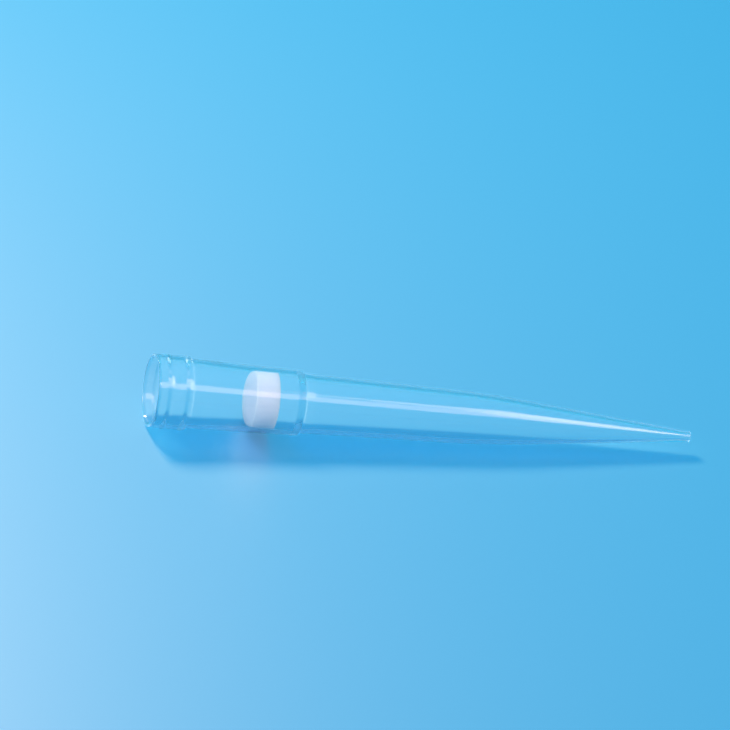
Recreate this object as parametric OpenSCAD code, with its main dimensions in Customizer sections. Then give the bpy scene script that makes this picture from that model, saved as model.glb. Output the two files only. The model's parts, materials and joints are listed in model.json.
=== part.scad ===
// Filter pipette tip, lying on its side as it comes to rest.
// Millimetres, +Z up, mouth towards -X, point towards +X. The floor is z = 0,
// and the origin is on it, under the middle of the tip's length.
// Lengths along the tip are measured from the mouth.

/* [Tip] */
// Overall length, from the mouth to the point
tip_len = 72; // [60:0.5:90]
// Radius of the straight land in the bore that a pipette's nozzle fits
land_r = 4.18; // [3.6:0.01:5.1]

/* [Collar] */
// Length of the collar
collar_len = 4.6; // [3.8:0.1:6.5]
// Wall thickness of the collar round the land
collar_wall = 0.58; // [0.45:0.01:0.8]
// How much wider the collar is at its lower end than at the mouth
collar_draft = 0.08; // [0:0.01:0.15]
// Rounding of the lip and of the collar's lower edge
collar_round = 0.15; // [0.05:0.01:0.2]
// Distance from the mouth to the middle of the first ring
ring_pos = 1.65; // [1.2:0.05:2.2]
// Length of each ring along the tip
ring_len = 0.9; // [0.6:0.05:1.1]
// How far each ring stands out of the collar
ring_height = 0.07; // [0.03:0.01:0.12]

/* [Bore] */
// Depth of the lead-in at the mouth
lead_in = 0.4; // [0.2:0.05:0.7]
// Step in the bore's radius at the upper end of the land
socket_step = 0.16; // [0.16:0.01:0.25]
// Step in the bore's radius at the lower end of the land
cone_step = 0.14; // [0.05:0.01:0.25]
// Length of each sloping step in the bore
step_len = 0.8; // [0.2:0.05:0.9]
// Length of straight seat that shows past each end of the filter
seat_margin = 0.5; // [0.2:0.1:1]
// Length of bore between the filter and the ledge below it
ledge_gap = 2.45; // [0.6:0.05:4]

/* [Filter] */
// Distance from the mouth to the filter
filter_pos = 12.95; // [9:0.05:16]
// Radius of the filter, and of the straight seat that grips it
filter_r = 3.62; // [3:0.01:4.35]
// Length of the filter
filter_len = 3.1; // [2.5:0.1:6]
// Bevel of the filter's edges
filter_bevel = 0.12; // [0.05:0.01:0.2]

/* [Barrel] */
// Wall thickness of the barrel just below the collar
barrel_top_wall = 0.42; // [0.3:0.01:0.55]
// Wall thickness of the barrel round the filter's seat
seat_wall = 0.58; // [0.45:0.01:0.75]
// Distance from the ledge inside to the shoulder outside
shoulder_lead = 1.1; // [0.7:0.1:1.6]
// Step in the outer radius at the shoulder
shoulder_step = 0.36; // [0.25:0.01:0.5]
// Rounding of the shoulder's outer edge
shoulder_round = 0.4; // [0.2:0.01:0.5]
// Length of the slope below the shoulder, and below the ledge
shoulder_slope = 1.1; // [0.6:0.05:2]

/* [Chamber] */
// Wall thickness of the chamber
chamber_wall = 0.64; // [0.5:0.01:0.8]
// Distance from the mouth to the start of the steep taper
taper_pos = 44.5; // [37:0.5:54]
// Outer radius where the steep taper begins
taper_r = 3.36; // [2.8:0.01:4.05]
// Length of the smooth bend into the steep taper
bend_len = 11; // [4:0.5:16]

/* [Point] */
// Radius of the hole in the point
orifice_r = 0.4; // [0.3:0.01:0.5]
// Length of the straight hole in the point
orifice_len = 1.5; // [0.5:0.1:3]
// Wall thickness at the point
point_wall = 0.28; // [0.2:0.01:0.4]
// Rounding of the edge at the point
point_round = 0.08; // [0.03:0.01:0.1]

/* [Hidden] */
$fn = 96;
ARC_STEPS = 6;
BEND_STEPS = 10;

// Outlines are lists of [distance from the mouth, radius].

// The value a share t of the way from a to b
function mix(a, b, t) = a + (b - a) * t;

// The point at distance s on the straight line from a to b
function on_line(a, b, s) = mix(a, b, (s - a[0]) / (b[0] - a[0]));

// Arc of radius r about a centre, from one angle to another
function rounded(centre, r, from, to) = [
    for (i = [0 : ARC_STEPS])
        let (angle = mix(from, to, i / ARC_STEPS))
        centre + r * [cos(angle), sin(angle)]
];

// Smooth curve from a to c that heads for b in between
function bend(a, b, c) = [
    for (i = [0 : BEND_STEPS])
        let (t = i / BEND_STEPS)
        mix(mix(a, b, t), mix(b, c, t), t)
];

// Both ends of the bend at a corner b between the straight stretches a-b and b-c
function bend_at(a, b, c) =
    bend(on_line(a, b, b[0] - bend_len / 2), b, on_line(b, c, b[0] + bend_len / 2));

// Low smooth ring on the outside of the collar, about the distance s
function ring(s) = [
    for (i = [0 : 2 * ARC_STEPS])
        let (t = i / (2 * ARC_STEPS))
        let (plain = on_line([0, mouth_r], [collar_len, collar_r], s + (t - 0.5) * ring_len))
        plain + [0, ring_height * (1 - cos(360 * t)) / 2]
];

// Sloping step in the bore from one radius to the next, about the distance s
function step(s, from_r, to_r) = [[s - step_len / 2, from_r], [s + step_len / 2, to_r]];

// The second ring ends where the rounding of the collar's lower edge begins
last_ring_pos = collar_len - collar_round - ring_len / 2;
collar_r = land_r + collar_wall;
mouth_r = collar_r - collar_draft;

// The ledge and the shoulder follow the filter
filter_end = filter_pos + filter_len;
ledge_pos = filter_end + ledge_gap;
shoulder_pos = ledge_pos + shoulder_lead;

cone_r = land_r - cone_step;
barrel_top_r = cone_r + barrel_top_wall;
barrel_end_r = filter_r + seat_wall;
chamber_r = barrel_end_r - shoulder_step;
point_r = orifice_r + point_wall;

chamber_start = [shoulder_pos + shoulder_slope, chamber_r];
taper_start = [taper_pos, taper_r];

outside = concat(
    rounded([collar_round, mouth_r - collar_round], collar_round, 180, 90),
    ring(ring_pos),
    ring(last_ring_pos),
    rounded([collar_len - collar_round, collar_r - collar_round], collar_round, 90, 0),
    [[collar_len, barrel_top_r]],
    rounded([shoulder_pos - shoulder_round, barrel_end_r - shoulder_round], shoulder_round, 90, 20),
    [chamber_start],
    bend_at(chamber_start, taper_start, [tip_len, point_r]),
    rounded([tip_len - point_round, point_r - point_round], point_round, 80, 0)
);

socket_r = land_r + socket_step;
bore_start = [ledge_pos + shoulder_slope, chamber_r - chamber_wall];
orifice_start = [tip_len - orifice_len, orifice_r];

bore = concat(
    [[0, socket_r + lead_in / 3], [lead_in, socket_r]],
    step(ring_pos, socket_r, land_r),
    step(last_ring_pos, land_r, cone_r),
    [[filter_pos - seat_margin, filter_r], [ledge_pos, filter_r]],
    [bore_start],
    bend_at(bore_start, taper_start - [0, chamber_wall], orifice_start),
    [orifice_start, [tip_len, orifice_r]]
);

// The clear wall's whole outline: along the outside, and back along the bore
wall = concat(outside, [for (i = [len(bore) - 1 : -1 : 0]) bore[i]]);

// Sum over an outline's edges, taken from each point p to the next one, q
function cross_of(p, q) = p[0] * q[1] - p[1] * q[0];
function edges(outline) = [
    for (i = [0 : len(outline) - 1]) [outline[i], outline[(i + 1) % len(outline)]]
];
function total(list) = list * [for (value = list) 1];

// Distance from the mouth to the point where the turned wall balances
wall_volume = total([for (e = edges(wall)) cross_of(e[0], e[1]) * (e[0][1] + e[1][1]) / 6]);
wall_moment = total([
    for (e = edges(wall))
        let (p = e[0])
        let (q = e[1])
        cross_of(p, q) * (2 * p[0] * p[1] + p[0] * q[1] + q[0] * p[1] + 2 * q[0] * q[1]) / 24
]);
balance = wall_moment / wall_volume;

// The tip rests on the two rims, one on each side of its balance, that reach out furthest there
props = [
    for (p = outside)
        if (p[0] < balance)
            for (q = outside)
                if (q[0] > balance) [on_line(p, q, balance)[1], p, q]
];
reach = max([for (prop = props) prop[0]]);
rest = [for (prop = props) if (prop[0] == reach) prop][0];
rest_angle = atan((rest[1][1] - rest[2][1]) / (rest[2][0] - rest[1][0]));
rest_height = rest[1][0] * sin(rest_angle) + rest[1][1] * cos(rest_angle);
rest_low_x = min([for (p = outside) p[0] * cos(rest_angle) - p[1] * sin(rest_angle)]);
rest_high_x = max([for (p = outside) p[0] * cos(rest_angle) + p[1] * sin(rest_angle)]);

// Lays what stands on its mouth at the origin down on its side, at rest on the floor
module laid_down() {
    translate([-(rest_low_x + rest_high_x) / 2, 0, rest_height])
        rotate([0, 90 + rest_angle, 0])
            children();
}

// Turns an outline about the tip's axis
module turned(outline) {
    rotate_extrude()
        polygon([for (p = outline) [p[1], p[0]]]);
}

// Clear moulded tip: collar with two rings, barrel, shoulder, chamber and point
module tip_body() {
    color([0.75, 0.9, 0.98, 0.45])
        laid_down()
            turned(wall);
}

// White porous plug, gripped by the straight seat in the bore
module filter() {
    color("white")
        laid_down()
            turned([
                [filter_pos, 0],
                [filter_pos, filter_r - filter_bevel],
                [filter_pos + filter_bevel, filter_r],
                [filter_end - filter_bevel, filter_r],
                [filter_end, filter_r - filter_bevel],
                [filter_end, 0],
            ]);
}

tip_body();
filter();
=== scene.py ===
"""A clear filter pipette tip lying on a blue floor: a turned, moulded shell with a porous plug in its bore.

The shell and the plug are surfaces of revolution about the tip's own axis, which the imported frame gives.
Lengths are in metres. Distances along the tip are measured from its mouth.
"""

import itertools
import json
import math
from typing import NamedTuple
import bpy
import numpy as np
from bpy.props import FloatProperty, FloatVectorProperty, IntProperty, PointerProperty
from mathutils import Matrix, Vector


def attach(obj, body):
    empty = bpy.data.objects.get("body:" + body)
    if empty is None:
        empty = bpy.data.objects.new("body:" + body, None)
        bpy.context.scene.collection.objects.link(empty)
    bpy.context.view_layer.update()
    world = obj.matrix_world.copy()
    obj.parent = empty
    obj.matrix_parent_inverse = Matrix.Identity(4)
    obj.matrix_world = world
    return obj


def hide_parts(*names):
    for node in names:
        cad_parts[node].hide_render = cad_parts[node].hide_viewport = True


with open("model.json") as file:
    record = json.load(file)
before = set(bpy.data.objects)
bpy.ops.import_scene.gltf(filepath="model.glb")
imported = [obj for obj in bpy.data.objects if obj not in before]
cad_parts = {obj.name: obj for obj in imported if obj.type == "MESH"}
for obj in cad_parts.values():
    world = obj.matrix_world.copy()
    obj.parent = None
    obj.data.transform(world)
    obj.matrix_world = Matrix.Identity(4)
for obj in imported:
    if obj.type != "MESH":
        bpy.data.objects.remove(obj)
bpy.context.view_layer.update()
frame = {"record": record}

bl_info = {
    "name": "Filter pipette tip",
    "version": (1, 0, 0),
    "blender": (4, 5, 0),
    "location": "View3D > Sidebar > Pipette Tip",
    "description": "Builds a clear pipette tip, its porous filter and a small studio around them",
    "category": "Mesh",
}

MM = 0.001
LAND = frame["record"]["mounts"][0]

EDGE = 0.04 * MM  # the curve that softens each sharp corner of the shell
FLARE_SLOPE = 1 / 3  # how far the mouth's flare opens for its depth
SHOULDER_END = 20  # where the shoulder's rounding meets its slope, in degrees
POINT_START = 80  # where the point's rounding meets the taper, in degrees

# A ray that has turned more often than this passes the clear wall straight on. Otherwise the thin wall
# would trap it, and the edges would go black.
MOST_TURNS = 3.5
# A ray whose transmission depth is below OUTSIDE hasn't entered the wall, and one whose depth is above
# WALL_PASSED has gone right through it once.
OUTSIDE, WALL_PASSED = 0.5, 1.5

# How fast lamp light through the wall goes from its flat-on colour to its edge-on colour.
SLANT_POWER = 1.5

# The colour of the painted shade in the plug's pores, as a share of the plug's own colour.
PAINTED_PORE_SHADE = 0.86

# The wave, offset and gain of the random places of the plug's grains.
HASH_WAVE = np.array([127.1, 311.7, 74.7])
HASH_OFFSET = 19.19
HASH_GAIN = 43758.5453

FLOOR_HALF = 1.5
LAMP_TARGET = Vector((0, 0, 0))
CAMERA_TARGET = Vector((-3.5 * MM, 18.6 * MM, 0))

# The colour sockets of a Mix node: its two inputs and its output.
MIX_FIRST, MIX_SECOND, MIX_RESULT = 6, 7, 2


class Lamp(NamedTuple):
    """A rectangular lamp that shines at the tip. Its angles are in degrees and its power in watts."""

    name: str
    azimuth: float
    elevation: float
    distance: float
    width: float
    height: float
    power: float
    tint: tuple
    lights_floor: bool = False


LAMPS = (
    # Lights the floor and throws the tip's shade towards the front.
    Lamp("key", -149, 47, 0.36, 0.09, 0.09, 0.66, (1, 0.83, 0.66), True),
    # Shows as a bright spot on the top of each ring.
    Lamp("overhead", -176, 40, 0.6, 0.05, 0.34, 0.34, (1, 0.95, 0.95)),
    # Adds faint spots to the rings.
    Lamp("top", -100, 80, 0.6, 0.14, 0.12, 0.14, (1, 0.85, 0.8)),
    # Lights the plug, most of all the end that faces the mouth.
    Lamp("left", -72, 30, 0.6, 0.25, 0.25, 1.3, (1, 0.85, 0.85)),
    # Draws the bright line along the collar, the barrel and the chamber.
    Lamp("front", 25, 46.5, 0.6, 0.26, 0.17, 0.38, (1, 0.65, 0.6)),
    # Lights the plug's side, and adds faint streaks to the rings.
    Lamp("strip", -8, 72, 0.6, 0.09, 1.0, 0.7, (1, 0.75, 0.75)),
    # Draws the bright line along the taper, and the bright spots on the rings and the shoulder.
    Lamp("side", 50, 47, 0.6, 0.17, 0.32, 1.0, (1, 0.7, 0.6)),
)


# ---------------------------------------------------------------- sizes and colours


def millimetres(name, description, value):
    """A length property whose default is given in millimetres."""
    return FloatProperty(
        name=name, description=description, default=value * MM, min=0, unit="LENGTH", precision=5
    )


def angle(name, description, degrees):
    """An angle property whose default is given in degrees."""
    return FloatProperty(
        name=name, description=description, default=math.radians(degrees), subtype="ANGLE"
    )


def colour(name, description, value):
    """A colour property."""
    return FloatVectorProperty(
        name=name, description=description, default=value, subtype="COLOR", min=0, max=1
    )


class TipSizes(bpy.types.PropertyGroup):
    """The clear shell's sizes."""

    tip_len: millimetres("Length", "From the mouth to the point", 72)
    collar_len: millimetres("Collar length", "From the mouth to the collar's lower edge", 4.6)
    mouth_r: millimetres("Mouth radius", "Outer radius at the mouth", 4.68)
    collar_r: millimetres("Collar radius", "Outer radius at the collar's lower edge", 4.76)
    edge_round: millimetres("Collar rounding", "Rounding of the lip and the lower edge", 0.15)
    ring_pos: millimetres("First ring", "From the mouth to the middle of the first ring", 1.65)
    ring_len: millimetres("Ring length", "Length of each ring along the tip", 0.9)
    ring_height: millimetres("Ring height", "How far each ring stands out of the collar", 0.07)
    barrel_top_r: millimetres("Barrel top", "Outer radius just below the collar", 4.46)
    barrel_end_r: millimetres("Barrel end", "Outer radius just above the shoulder", 4.2)
    shoulder_pos: millimetres("Shoulder", "From the mouth to the shoulder", 19.6)
    shoulder_round: millimetres("Shoulder rounding", "Rounding of its outer edge", 0.4)
    shoulder_slope: millimetres("Shoulder slope", "Length of the slope below the shoulder", 1.1)
    chamber_r: millimetres("Chamber radius", "Outer radius below the shoulder", 3.84)
    chamber_wall: millimetres("Chamber wall", "Wall thickness of the chamber", 0.64)
    taper_pos: millimetres("Taper start", "From the mouth to the start of the steep taper", 44.5)
    taper_r: millimetres("Taper radius", "Outer radius where the steep taper begins", 3.36)
    bend_len: millimetres("Bend length", "Length of the smooth bend into the taper", 11)
    point_r: millimetres("Point radius", "Outer radius at the point", 0.68)
    point_round: millimetres("Point rounding", "Rounding of the edge at the point", 0.08)
    socket_r: millimetres("Socket radius", "Bore radius above the land", 4.34)
    lead_in: millimetres("Lead-in", "Depth of the flare at the mouth", 0.4)
    cone_r: millimetres("Cone radius", "Bore radius just below the land", 4.04)
    step_len: millimetres("Step length", "Length of each sloping step in the bore", 0.8)
    seat_margin: millimetres("Seat margin", "Straight bore shown above the filter", 0.5)
    ledge_pos: millimetres("Ledge", "From the mouth to the ledge below the filter", 18.5)
    orifice_r: millimetres("Orifice radius", "Radius of the hole in the point", 0.4)
    orifice_len: millimetres("Orifice length", "Length of the straight hole", 1.5)
    segments: IntProperty(
        name="Segments", description="Faces around the tip", default=192, min=24, max=256
    )


class FilterSizes(bpy.types.PropertyGroup):
    """The porous plug's sizes."""

    position: millimetres("Position", "From the mouth to the plug", 12.95)
    length: millimetres("Length", "Length of the plug", 3.1)
    radius: millimetres("Radius", "Radius of the plug", 3.62)
    bevel: millimetres("Bevel", "Rounding of the plug's edges", 0.12)
    grain: millimetres("Grain", "Size of the sintered grains", 0.22)
    pit: millimetres("Pit depth", "Depth of the pores between the grains", 0.03)
    segments: IntProperty(
        name="Segments", description="Faces around the plug", default=240, min=24, max=256
    )
    rows: IntProperty(
        name="Rows", description="Points across an end face and along the side", default=30, min=4, max=40
    )


class Finishes(bpy.types.PropertyGroup):
    """The colours of the tip's two materials."""

    plastic: colour("Clear plastic", "Tint of the clear wall", (0.9, 0.99, 1.0))
    flat_pass: colour("Flat-on pass", "Lamp light that passes the wall flat on", (0.12, 0.5, 0.72))
    edge_pass: colour("Edge-on pass", "Lamp light that passes the wall edge on", (0, 0.25, 0.45))
    plug: colour("Plug", "Colour of the porous plug", (0.78, 0.79, 0.92))


class StudioSettings(bpy.types.PropertyGroup):
    """The floor, the world and the camera."""

    floor: colour("Floor", "Colour of the floor", (0.0, 0.53, 0.9))
    fill: colour("Fill light", "Colour of the soft light from all round", (0.36, 0.44, 0.54))
    horizon: colour("Horizon", "Low colour of the backdrop around the tip", (0.0, 0.35, 0.64))
    zenith: colour("Zenith", "High colour of the backdrop around the tip", (0.0, 0.62, 1.0))
    view_azimuth: angle("View azimuth", "Where the camera stands, from -Y towards +X", -15.85)
    view_elevation: angle("View elevation", "How far the camera looks down", 28)
    view_roll: angle("View roll", "Turn of the camera about its line of sight", 10.7)
    view_distance: FloatProperty(
        name="View distance", description="From the camera to its target", default=0.752, unit="LENGTH"
    )
    lens: FloatProperty(name="Lens", description="Focal length in millimetres", default=282.6)


# ---------------------------------------------------------------- outlines


def arc(centre, radius, start, end, steps=12):
    """Points at centre + radius * (cos t, sin t), with t from start to end in degrees."""
    t = np.radians(np.linspace(start, end, steps + 1))
    return np.array(centre) + radius * np.stack([np.cos(t), np.sin(t)], axis=1)


def on_line(a, b, s):
    """The point at distance s along the tip on the straight line from a to b."""
    a, b = np.array(a), np.array(b)
    return a + (b - a) * (s - a[0]) / (b[0] - a[0])


def bend(start, corner, end, length, steps=40):
    """The curve (1-t)^2 P + 2t(1-t) C + t^2 Q: it leaves the line start-corner half of length before
    the corner C, and joins the line corner-end half of length after it."""
    corner = np.array(corner)
    p = on_line(start, corner, corner[0] - length / 2)
    q = on_line(corner, end, corner[0] + length / 2)
    t = np.linspace(0, 1, steps + 1)[:, None]
    return (1 - t) ** 2 * p + 2 * t * (1 - t) * corner + t**2 * q


def last_ring(size):
    """The distance from the mouth to the middle of the ring at the collar's lower edge."""
    return size.collar_len - size.edge_round - size.ring_len / 2


def ring(size, middle, steps=28):
    """One ring of the collar: the collar's straight side plus height * (1 + cos u) / 2, with u from
    -180 to 180 degrees over the ring's length."""
    share = np.linspace(-0.5, 0.5, steps + 1)
    s = middle + share * size.ring_len
    side = size.mouth_r + (size.collar_r - size.mouth_r) * s / size.collar_len
    return np.stack([s, side + size.ring_height * (1 + np.cos(2 * np.pi * share)) / 2], axis=1)


def eased(outline, cut, sharp_turn=9, most_of_side=0.3, steps=3):
    """A closed outline with each corner C that turns by more than sharp_turn degrees made a small curve
    (1-t)^2 P + 2t(1-t) C + t^2 Q. P and Q lie on the two sides, at distance cut from C or at
    most_of_side of the side if that is less, and a point half as far again follows each."""
    before, after = np.roll(outline, 1, axis=0), np.roll(outline, -1, axis=0)
    back, ahead = before - outline, after - outline
    back_len, ahead_len = np.hypot(*back.T), np.hypot(*ahead.T)
    cosine = -(back * ahead).sum(1) / (back_len * ahead_len)
    sharp = cosine < math.cos(math.radians(sharp_turn))
    p = outline + back * (np.minimum(cut, most_of_side * back_len) / back_len)[:, None]
    q = outline + ahead * (np.minimum(cut, most_of_side * ahead_len) / ahead_len)[:, None]
    t = np.linspace(0, 1, steps + 1)[None, :, None]
    curve = (1 - t) ** 2 * p[:, None] + 2 * t * (1 - t) * outline[:, None] + t**2 * q[:, None]
    first = outline + (p - outline) * 1.5
    last = outline + (q - outline) * 1.5
    points = np.concatenate([first[:, None], curve, last[:, None]], axis=1)
    points[~sharp, 0] = outline[~sharp]
    kept = np.repeat(sharp[:, None], points.shape[1], axis=1)
    kept[:, 0] = True
    return points[kept]


def held(outline, reach, long_side=10):
    """A closed outline with one more point at distance reach from both ends of each side that is longer
    than long_side times reach, so that smooth shading stays flat along the side."""
    after = np.roll(outline, -1, axis=0)
    length = np.hypot(*(after - outline).T)
    step = (after - outline) / length[:, None] * reach
    far = length > long_side * reach
    points = np.stack([outline, outline + step, after - step], axis=1)
    return points[np.stack([np.ones_like(far), far, far], axis=1)]


def tip_outline(size, filter_size):
    """The closed outline of the clear wall as (distance from the mouth, radius): along the outside
    from the lip to the point, and back along the bore."""
    lower_ring = last_ring(size)
    chamber_start = (size.shoulder_pos + size.shoulder_slope, size.chamber_r)
    taper_start = (size.taper_pos, size.taper_r)
    edge, turn, tip_edge = size.edge_round, size.shoulder_round, size.point_round
    outside = np.concatenate(
        [
            arc((edge, size.mouth_r - edge), edge, 180, 90),
            ring(size, size.ring_pos),
            ring(size, lower_ring)[:-1],
            arc((size.collar_len - edge, size.collar_r - edge), edge, 90, 0),
            [(size.collar_len, size.barrel_top_r)],
            arc((size.shoulder_pos - turn, size.barrel_end_r - turn), turn, 90, SHOULDER_END),
            [chamber_start],
            bend(chamber_start, taper_start, (size.tip_len, size.point_r), size.bend_len),
            arc((size.tip_len - tip_edge, size.point_r - tip_edge), tip_edge, POINT_START, 0),
        ]
    )
    land_r, half_step = LAND["dims"]["r_mm"] * MM, size.step_len / 2
    bore_start = (size.ledge_pos + size.shoulder_slope, size.chamber_r - size.chamber_wall)
    inner_taper = (size.taper_pos, size.taper_r - size.chamber_wall)
    orifice_start = (size.tip_len - size.orifice_len, size.orifice_r)
    bore = np.concatenate(
        [
            [
                (0, size.socket_r + size.lead_in * FLARE_SLOPE),
                (size.lead_in, size.socket_r),
                (size.ring_pos - half_step, size.socket_r),
                (size.ring_pos + half_step, land_r),
                (lower_ring - half_step, land_r),
                (lower_ring + half_step, size.cone_r),
                (filter_size.position - size.seat_margin, filter_size.radius),
                (size.ledge_pos, filter_size.radius),
                bore_start,
            ],
            bend(bore_start, inner_taper, orifice_start, size.bend_len),
            [orifice_start, (size.tip_len, size.orifice_r)],
        ]
    )
    return np.concatenate([outside, bore[::-1]])


def plug_outline(size):
    """The plug's outline as (distance from the mouth, radius), from beside the middle of its upper face,
    over the rounded edges and the side, to beside the middle of its lower face."""
    start, end = size.position, size.position + size.length
    out = np.linspace(0, size.radius - size.bevel, size.rows)[1:]
    side = np.linspace(start + size.bevel, end - size.bevel, size.rows)[1:-1]
    return np.concatenate(
        [
            np.stack([np.full_like(out, start), out], axis=1),
            arc((start + size.bevel, size.radius - size.bevel), size.bevel, 180, 90, 5)[1:],
            np.stack([side, np.full_like(side, size.radius)], axis=1),
            arc((end - size.bevel, size.radius - size.bevel), size.bevel, 90, 0, 5),
            np.stack([np.full_like(out, end), out[::-1]], axis=1)[1:],
        ]
    )


# ---------------------------------------------------------------- surfaces


def tip_axes(size):
    """The mouth's centre, the direction along the tip, and the two directions across it, in the row
    frame. The land's mount gives the axis, and lies halfway between the bore's two steps."""
    along = -np.array(LAND["axis"])
    along /= np.linalg.norm(along)
    mouth = np.array(LAND["pos_m"]) - along * (size.ring_pos + last_ring(size)) / 2
    side = np.array([0.0, 1.0, 0.0])
    return mouth, along, np.cross(side, along), side


def turned(outline, segments, size):
    """A surface of revolution. A point (s, r) of the outline at angle v goes to
    mouth + s * along + r * (cos v * up + sin v * side)."""
    mouth, along, up, side = tip_axes(size)
    v = np.linspace(0, 2 * np.pi, segments, endpoint=False)
    s, r = outline[:, 0][:, None, None], outline[:, 1][:, None, None]
    ray = np.cos(v)[None, :, None] * up + np.sin(v)[None, :, None] * side
    return mouth + s * along + r * ray


def hashed(cells, salt):
    """A number from 0 to 1 for each whole-number cell: the fraction that is left of
    |sin(cell . wave + salt * offset) * gain|."""
    dots = cells @ HASH_WAVE + salt * HASH_OFFSET
    return np.modf(np.abs(np.sin(dots) * HASH_GAIN))[0]


def grain_height(points, grain):
    """Height from 0 to 1 over round grains: one grain sits at a random place in each cube of a grid,
    and the height is 1 less the square of the distance to the nearest, in grain sizes."""
    scaled = points / grain
    home = np.floor(scaled)
    nearest = np.full(len(points), np.inf)
    for step in itertools.product((-1, 0, 1), repeat=3):
        cell = home + step
        centre = cell + np.stack([hashed(cell, salt) for salt in (1, 2, 3)], axis=1)
        nearest = np.minimum(nearest, ((centre - scaled) ** 2).sum(1))
    return np.clip(1 - nearest, 0, 1)


def pitted(points, middle, size):
    """The plug's surface with each point moved towards the plug's middle by
    pit * (1 - grain height), so that the pores lie between round grains."""
    inward = middle - points
    inward /= np.linalg.norm(inward, axis=-1, keepdims=True)
    height = grain_height(points.reshape(-1, 3), size.grain).reshape(points.shape[:2])
    return points + inward * (size.pit * (1 - height))[..., None]


def grid_faces(rows, columns, joined):
    """Four-cornered faces between neighbours of a grid whose columns close on themselves, and whose
    last row meets its first if joined."""
    i, j = np.meshgrid(np.arange(rows if joined else rows - 1), np.arange(columns), indexing="ij")
    i2, j2 = (i + 1) % rows, (j + 1) % columns
    corners = [i * columns + j, i * columns + j2, i2 * columns + j2, i2 * columns + j]
    return np.stack(corners, axis=-1).reshape(-1, 4).tolist()


def cap_faces(rows, columns):
    """Triangles from a grid's first row to the first point after the grid, and from its last row to
    the second point after it."""
    first = np.arange(columns)
    after = (first + 1) % columns
    last = (rows - 1) * columns
    pole = np.full(columns, rows * columns)
    upper = np.stack([first, pole, after], axis=1)
    lower = np.stack([last + after, pole + 1, last + first], axis=1)
    return upper.tolist() + lower.tolist()


def mesh_object(name, vertices, faces):
    """An object at the origin with a smooth mesh of these vertices and faces."""
    mesh = bpy.data.meshes.new(name)
    mesh.from_pydata(vertices.reshape(-1, 3).tolist(), [], faces)
    mesh.shade_smooth()
    piece = bpy.data.objects.new(name, mesh)
    bpy.context.scene.collection.objects.link(piece)
    return piece


# ---------------------------------------------------------------- materials


class Wire:
    """An output socket of a node tree. Arithmetic on wires and numbers adds Math nodes."""

    def __init__(self, tree, socket=None):
        self.tree, self.socket = tree, socket

    def node(self, kind, settings, sockets, output=0):
        """Adds a node of this type, sets its settings, then fills its sockets with values or wires."""
        made = self.tree.nodes.new(kind)
        for key, value in settings.items():
            setattr(made, key, value)
        for key, value in sockets.items():
            if isinstance(value, Wire):
                self.tree.links.new(value.socket, made.inputs[key])
            else:
                made.inputs[key].default_value = value
        return None if output is None else Wire(self.tree, made.outputs[output])

    def math(self, operation, first, second):
        """A Math node on two wires or numbers."""
        return self.node("ShaderNodeMath", {"operation": operation}, {0: first, 1: second})

    def __add__(self, other):
        return self.math("ADD", self, other)

    def __mul__(self, other):
        return self.math("MULTIPLY", self, other)

    def __rsub__(self, other):
        return self.math("SUBTRACT", other, self)

    def __pow__(self, other):
        return self.math("POWER", self, other)

    def __gt__(self, other):
        return self.math("GREATER_THAN", self, other)

    def __lt__(self, other):
        return self.math("LESS_THAN", self, other)

    def __or__(self, other):
        return self.math("MAXIMUM", self, other)

    __radd__ = __add__
    __rmul__ = __mul__


def new_material(name):
    """An empty material and a wire to build its nodes from."""
    material = bpy.data.materials.new(name)
    material.use_nodes = True
    material.node_tree.nodes.clear()
    return material, Wire(material.node_tree)


def rgba(shade):
    """A colour as a colour socket takes it, with full opacity."""
    return (*shade, 1)


def object_coordinates(graph):
    """Places on the piece, which lies at the origin, in metres."""
    return graph.node("ShaderNodeTexCoord", {}, {}, "Object")


def noise(graph, place, scale, detail):
    """Soft noise from 0 to 1, with about scale waves in a metre."""
    return graph.node("ShaderNodeTexNoise", {}, {"Vector": place, "Scale": scale, "Detail": detail})


def ray_fact(graph, output):
    """What a Light Path node says of the ray."""
    return graph.node("ShaderNodeLightPath", {}, {}, output)


def mixed_colour(graph, factor, first, second):
    """The colour at factor of the way from first to second."""
    sockets = {"Factor": factor, MIX_FIRST: first, MIX_SECOND: second}
    return graph.node("ShaderNodeMix", {"data_type": "RGBA"}, sockets, MIX_RESULT)


def see_through(graph, shade):
    """A shader that lets rays straight on, tinted by this colour."""
    return graph.node("ShaderNodeBsdfTransparent", {}, {"Color": rgba(shade)})


def mixed_shader(graph, factor, first, second):
    """The first shader where factor is 0, and the second where it is 1."""
    return graph.node("ShaderNodeMixShader", {}, {0: factor, 1: first, 2: second})


def moulded_surface(graph, finish):
    """Clear gloss plastic, nearly smooth, with faint lines along the draw and light scuffs."""
    _, along, _, _ = tip_axes(bpy.context.scene.tip_sizes)
    coordinates = object_coordinates(graph)
    pitch = math.atan2(-along[2], along[0])
    lying = graph.node("ShaderNodeMapping", {}, {"Vector": coordinates, "Rotation": (0, -pitch, 0)})
    stretched = graph.node("ShaderNodeMapping", {}, {"Vector": lying, "Scale": (0.06, 1, 1)})
    draw_lines = noise(graph, stretched, scale=2600.0, detail=3.0)
    waves = noise(graph, lying, scale=240.0, detail=1.0)
    scuffs = noise(graph, coordinates, scale=900.0, detail=5.0)
    worn = graph.node(
        "ShaderNodeMapRange", {}, {"Value": scuffs, "From Min": 0.55, "From Max": 0.8, "To Max": 0.05}
    )
    bump = graph.node(
        "ShaderNodeBump", {}, {"Strength": 0.12, "Distance": 0.02 * MM, "Height": waves + 0.12 * draw_lines}
    )
    return graph.node(
        "ShaderNodeBsdfPrincipled",
        {},
        {
            "Base Color": rgba(finish.plastic),
            "Roughness": 0.05 + worn,
            "IOR": 1.49,
            "Transmission Weight": 0.96,
            "Normal": bump,
        },
    )


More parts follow.
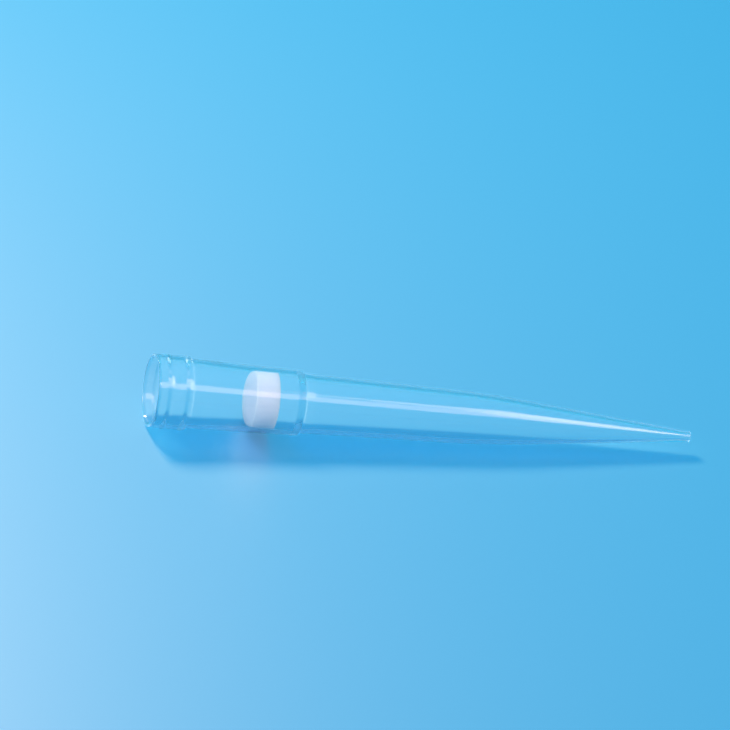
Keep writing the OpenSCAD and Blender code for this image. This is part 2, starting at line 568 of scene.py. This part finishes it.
def clear_plastic(finish):
    """The clear wall. It is left out of rays that met too many surfaces, that come off the floor's
    gloss, or that look on past a whole wall, and lamp light passes it with a tint that deepens with the
    slant."""
    material, graph = new_material("clear_plastic")
    surface = moulded_surface(graph, finish)
    entered = ray_fact(graph, "Transmission Depth")
    trapped = ray_fact(graph, "Ray Depth") > MOST_TURNS
    mirrored = ray_fact(graph, "Is Glossy Ray") * (entered < OUTSIDE)
    left_out = trapped | mirrored | (entered > WALL_PASSED)
    seen = mixed_shader(graph, left_out, surface, see_through(graph, finish.plastic))
    slant = graph.node("ShaderNodeLayerWeight", {}, {"Blend": 0.5}, "Facing") ** SLANT_POWER
    lit = mixed_shader(
        graph, slant, see_through(graph, finish.flat_pass), see_through(graph, finish.edge_pass)
    )
    whole = mixed_shader(graph, ray_fact(graph, "Is Shadow Ray"), seen, lit)
    graph.node("ShaderNodeOutputMaterial", {}, {"Surface": whole}, None)
    return material


def porous_plug(finish):
    """White sintered plastic: matte grains with a random cloudy tone, and painted shade that darkens the
    pores between them.
    """
    material, graph = new_material("porous_plug")
    coordinates = object_coordinates(graph)
    grains = graph.node("ShaderNodeTexVoronoi", {}, {"Vector": coordinates, "Scale": 5200.0})
    cloud = noise(graph, coordinates, scale=420.0, detail=2.0)
    # Painted shade: the plug's own colour made darker, which the mix moves towards in the low places between
    # the grains. The cloud adds a random tone.
    painted_pore_shade = [PAINTED_PORE_SHADE * level for level in finish.plug]
    tone_and_pore_shade = mixed_colour(graph, grains * 0.5 + cloud * 0.3, rgba(finish.plug), rgba(painted_pore_shade))
    bump = graph.node(
        "ShaderNodeBump", {}, {"Strength": 0.5, "Distance": 0.04 * MM, "Height": 1 - grains}
    )
    shader = graph.node(
        "ShaderNodeBsdfPrincipled",
        {},
        {
            "Base Color": tone_and_pore_shade,
            "Roughness": 0.85 + 0.1 * cloud,
            "Subsurface Weight": 1.0,
            "Subsurface Radius": (1.0, 1.0, 1.0),
            "Subsurface Scale": 5 * MM,
            "IOR": 1.3,
            "Normal": bump,
        },
    )
    graph.node("ShaderNodeOutputMaterial", {}, {"Surface": shader}, None)
    return material


def floor_finish(studio):
    """A plain blue sheet with a broad gloss and a very fine tooth."""
    material, graph = new_material("floor")
    tooth = noise(graph, object_coordinates(graph), scale=1500.0, detail=4.0)
    bump = graph.node("ShaderNodeBump", {}, {"Strength": 0.15, "Distance": 0.05 * MM, "Height": tooth})
    shader = graph.node(
        "ShaderNodeBsdfPrincipled",
        {},
        {
            "Base Color": rgba(studio.floor),
            "Roughness": 0.5,
            "IOR": 3.0,
            "Coat Weight": 1.0,
            "Coat Roughness": 0.5,
            "Coat IOR": 2.6,
            "Normal": bump,
        },
    )
    graph.node("ShaderNodeOutputMaterial", {}, {"Surface": shader}, None)
    return material


# ---------------------------------------------------------------- studio


def aimed(place, target):
    """The matrix of a lamp or camera at place that looks at target, with its top upwards."""
    look = (target - place).to_track_quat("-Z", "Y")
    return Matrix.Translation(place) @ look.to_matrix().to_4x4()


def from_direction(azimuth, elevation, distance, target):
    """The place at that distance from target, seen from it in the direction azimuth (from -Y, towards
    +X) and elevation. Both angles are in radians."""
    level = math.cos(elevation)
    way = Vector((math.sin(azimuth) * level, -math.cos(azimuth) * level, math.sin(elevation)))
    return target + way * distance


def floor_links(floor):
    """The two collections that keep a lamp off the floor. The first leaves the floor out of what the
    lamp lights, and the second makes the floor the only thing that blocks it, so that its light reaches
    the plug through the wall."""
    lit = bpy.data.collections.new("not_lit")
    lit.objects.link(floor)
    lit.collection_objects[0].light_linking.link_state = "EXCLUDE"
    blockers = bpy.data.collections.new("blockers")
    blockers.objects.link(floor)
    return lit, blockers


def area_lamp(lamp, lit, blockers):
    """Makes a lamp of the list. It doesn't show through the clear wall."""
    data = bpy.data.lights.new(lamp.name, "AREA")
    data.shape, data.size, data.size_y = "RECTANGLE", lamp.width, lamp.height
    data.energy, data.color = lamp.power, lamp.tint
    made = bpy.data.objects.new(lamp.name, data)
    made.visible_transmission = False
    if not lamp.lights_floor:
        made.light_linking.receiver_collection = lit
        made.light_linking.blocker_collection = blockers
    bpy.context.scene.collection.objects.link(made)
    place = from_direction(
        math.radians(lamp.azimuth), math.radians(lamp.elevation), lamp.distance, LAMP_TARGET
    )
    made.matrix_world = aimed(place, LAMP_TARGET)


def studio_world(studio):
    """A soft fill for rays that left a matte surface, and a blue backdrop, deeper near the horizon, for
    all the others."""
    world = bpy.data.worlds.new("studio")
    world.use_nodes = True
    world.node_tree.nodes.clear()
    graph = Wire(world.node_tree)
    shown = 1 - ray_fact(graph, "Diffuse Depth")
    coordinates = graph.node("ShaderNodeTexCoord", {}, {}, "Generated")
    height = graph.node("ShaderNodeSeparateXYZ", {}, {"Vector": coordinates}, "Z")
    backdrop = mixed_colour(graph, height, rgba(studio.horizon), rgba(studio.zenith))
    sky = mixed_colour(graph, shown, rgba(studio.fill), backdrop)
    light = graph.node("ShaderNodeBackground", {}, {"Color": sky, "Strength": 1.0})
    graph.node("ShaderNodeOutputWorld", {}, {"Surface": light}, None)
    return world


def studio_camera(studio):
    """A long lens that looks down at the tip from the front left."""
    data = bpy.data.cameras.new("camera")
    data.lens, data.sensor_width = studio.lens, 36
    data.clip_start, data.clip_end = 0.01, 20
    camera = bpy.data.objects.new("camera", data)
    bpy.context.scene.collection.objects.link(camera)
    place = from_direction(
        studio.view_azimuth, studio.view_elevation, studio.view_distance, CAMERA_TARGET
    )
    camera.matrix_world = aimed(place, CAMERA_TARGET) @ Matrix.Rotation(studio.view_roll, 4, "Z")
    return camera


# ---------------------------------------------------------------- operators


class MESH_OT_tip_body(bpy.types.Operator):
    """Turns the clear moulded shell about the tip's axis"""

    bl_idname = "mesh.tip_body"
    bl_label = "Clear shell"

    def execute(self, context):
        size = context.scene.tip_sizes
        outline = held(eased(tip_outline(size, context.scene.filter_sizes), EDGE), EDGE)
        points = turned(outline, size.segments, size)
        piece = mesh_object("clear_shell", points, grid_faces(*points.shape[:2], joined=True))
        piece.data.materials.append(clear_plastic(context.scene.finishes))
        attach(piece, "root")
        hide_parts("tip_body")
        return {"FINISHED"}


class MESH_OT_filter(bpy.types.Operator):
    """Makes the white porous plug in the bore"""

    bl_idname = "mesh.filter"
    bl_label = "Porous plug"

    def execute(self, context):
        size, tip = context.scene.filter_sizes, context.scene.tip_sizes
        mouth, along, _, _ = tip_axes(tip)
        upper, lower = mouth + along * size.position, mouth + along * (size.position + size.length)
        points = pitted(turned(plug_outline(size), size.segments, tip), (upper + lower) / 2, size)
        vertices = np.concatenate([points.reshape(-1, 3), [upper, lower]])
        rows, columns = points.shape[:2]
        faces = grid_faces(rows, columns, joined=False) + cap_faces(rows, columns)
        piece = mesh_object("porous_plug", vertices, faces)
        piece.data.materials.append(porous_plug(context.scene.finishes))
        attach(piece, "root")
        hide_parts("filter")
        return {"FINISHED"}


class SCENE_OT_studio(bpy.types.Operator):
    """Sets up the floor, the lamps, the world and the camera"""

    bl_idname = "scene.tip_studio"
    bl_label = "Studio"

    def execute(self, context):
        studio = context.scene.studio
        corners = FLOOR_HALF * np.array([[-1, -1, 0], [1, -1, 0], [1, 1, 0], [-1, 1, 0]])
        floor = mesh_object("floor", corners, [[0, 1, 2, 3]])
        floor.data.materials.append(floor_finish(studio))
        lit, blockers = floor_links(floor)
        for lamp in LAMPS:
            area_lamp(lamp, lit, blockers)
        context.scene.world = studio_world(studio)
        context.scene.camera = studio_camera(studio)
        context.scene.view_settings.view_transform = "Standard"
        return {"FINISHED"}


GROUPS = {"tip_sizes": TipSizes, "filter_sizes": FilterSizes, "finishes": Finishes, "studio": StudioSettings}
OPERATORS = (MESH_OT_tip_body, MESH_OT_filter, SCENE_OT_studio)


class VIEW3D_PT_tip(bpy.types.Panel):
    """Lists the tip's operators, sizes and colours"""

    bl_label = "Pipette tip"
    bl_space_type = "VIEW_3D"
    bl_region_type = "UI"
    bl_category = "Pipette Tip"

    def draw(self, context):
        for operator in OPERATORS:
            self.layout.operator(operator.bl_idname)
        for name, group in GROUPS.items():
            box = self.layout.box()
            for key in group.__annotations__:
                box.prop(getattr(context.scene, name), key)


def register():
    """Registers the classes and puts each group of properties on the scene."""
    for item in (*GROUPS.values(), *OPERATORS, VIEW3D_PT_tip):
        bpy.utils.register_class(item)
    for name, group in GROUPS.items():
        setattr(bpy.types.Scene, name, PointerProperty(type=group))


def unregister():
    """Takes the groups off the scene and unregisters the classes."""
    for name in GROUPS:
        delattr(bpy.types.Scene, name)
    for item in (VIEW3D_PT_tip, *reversed(OPERATORS), *reversed(GROUPS.values())):
        bpy.utils.unregister_class(item)


def main():
    """Builds the studio and the two pieces."""
    register()
    bpy.ops.scene.tip_studio()
    bpy.ops.mesh.tip_body()
    bpy.ops.mesh.filter()


if __name__ == "__main__":
    main()
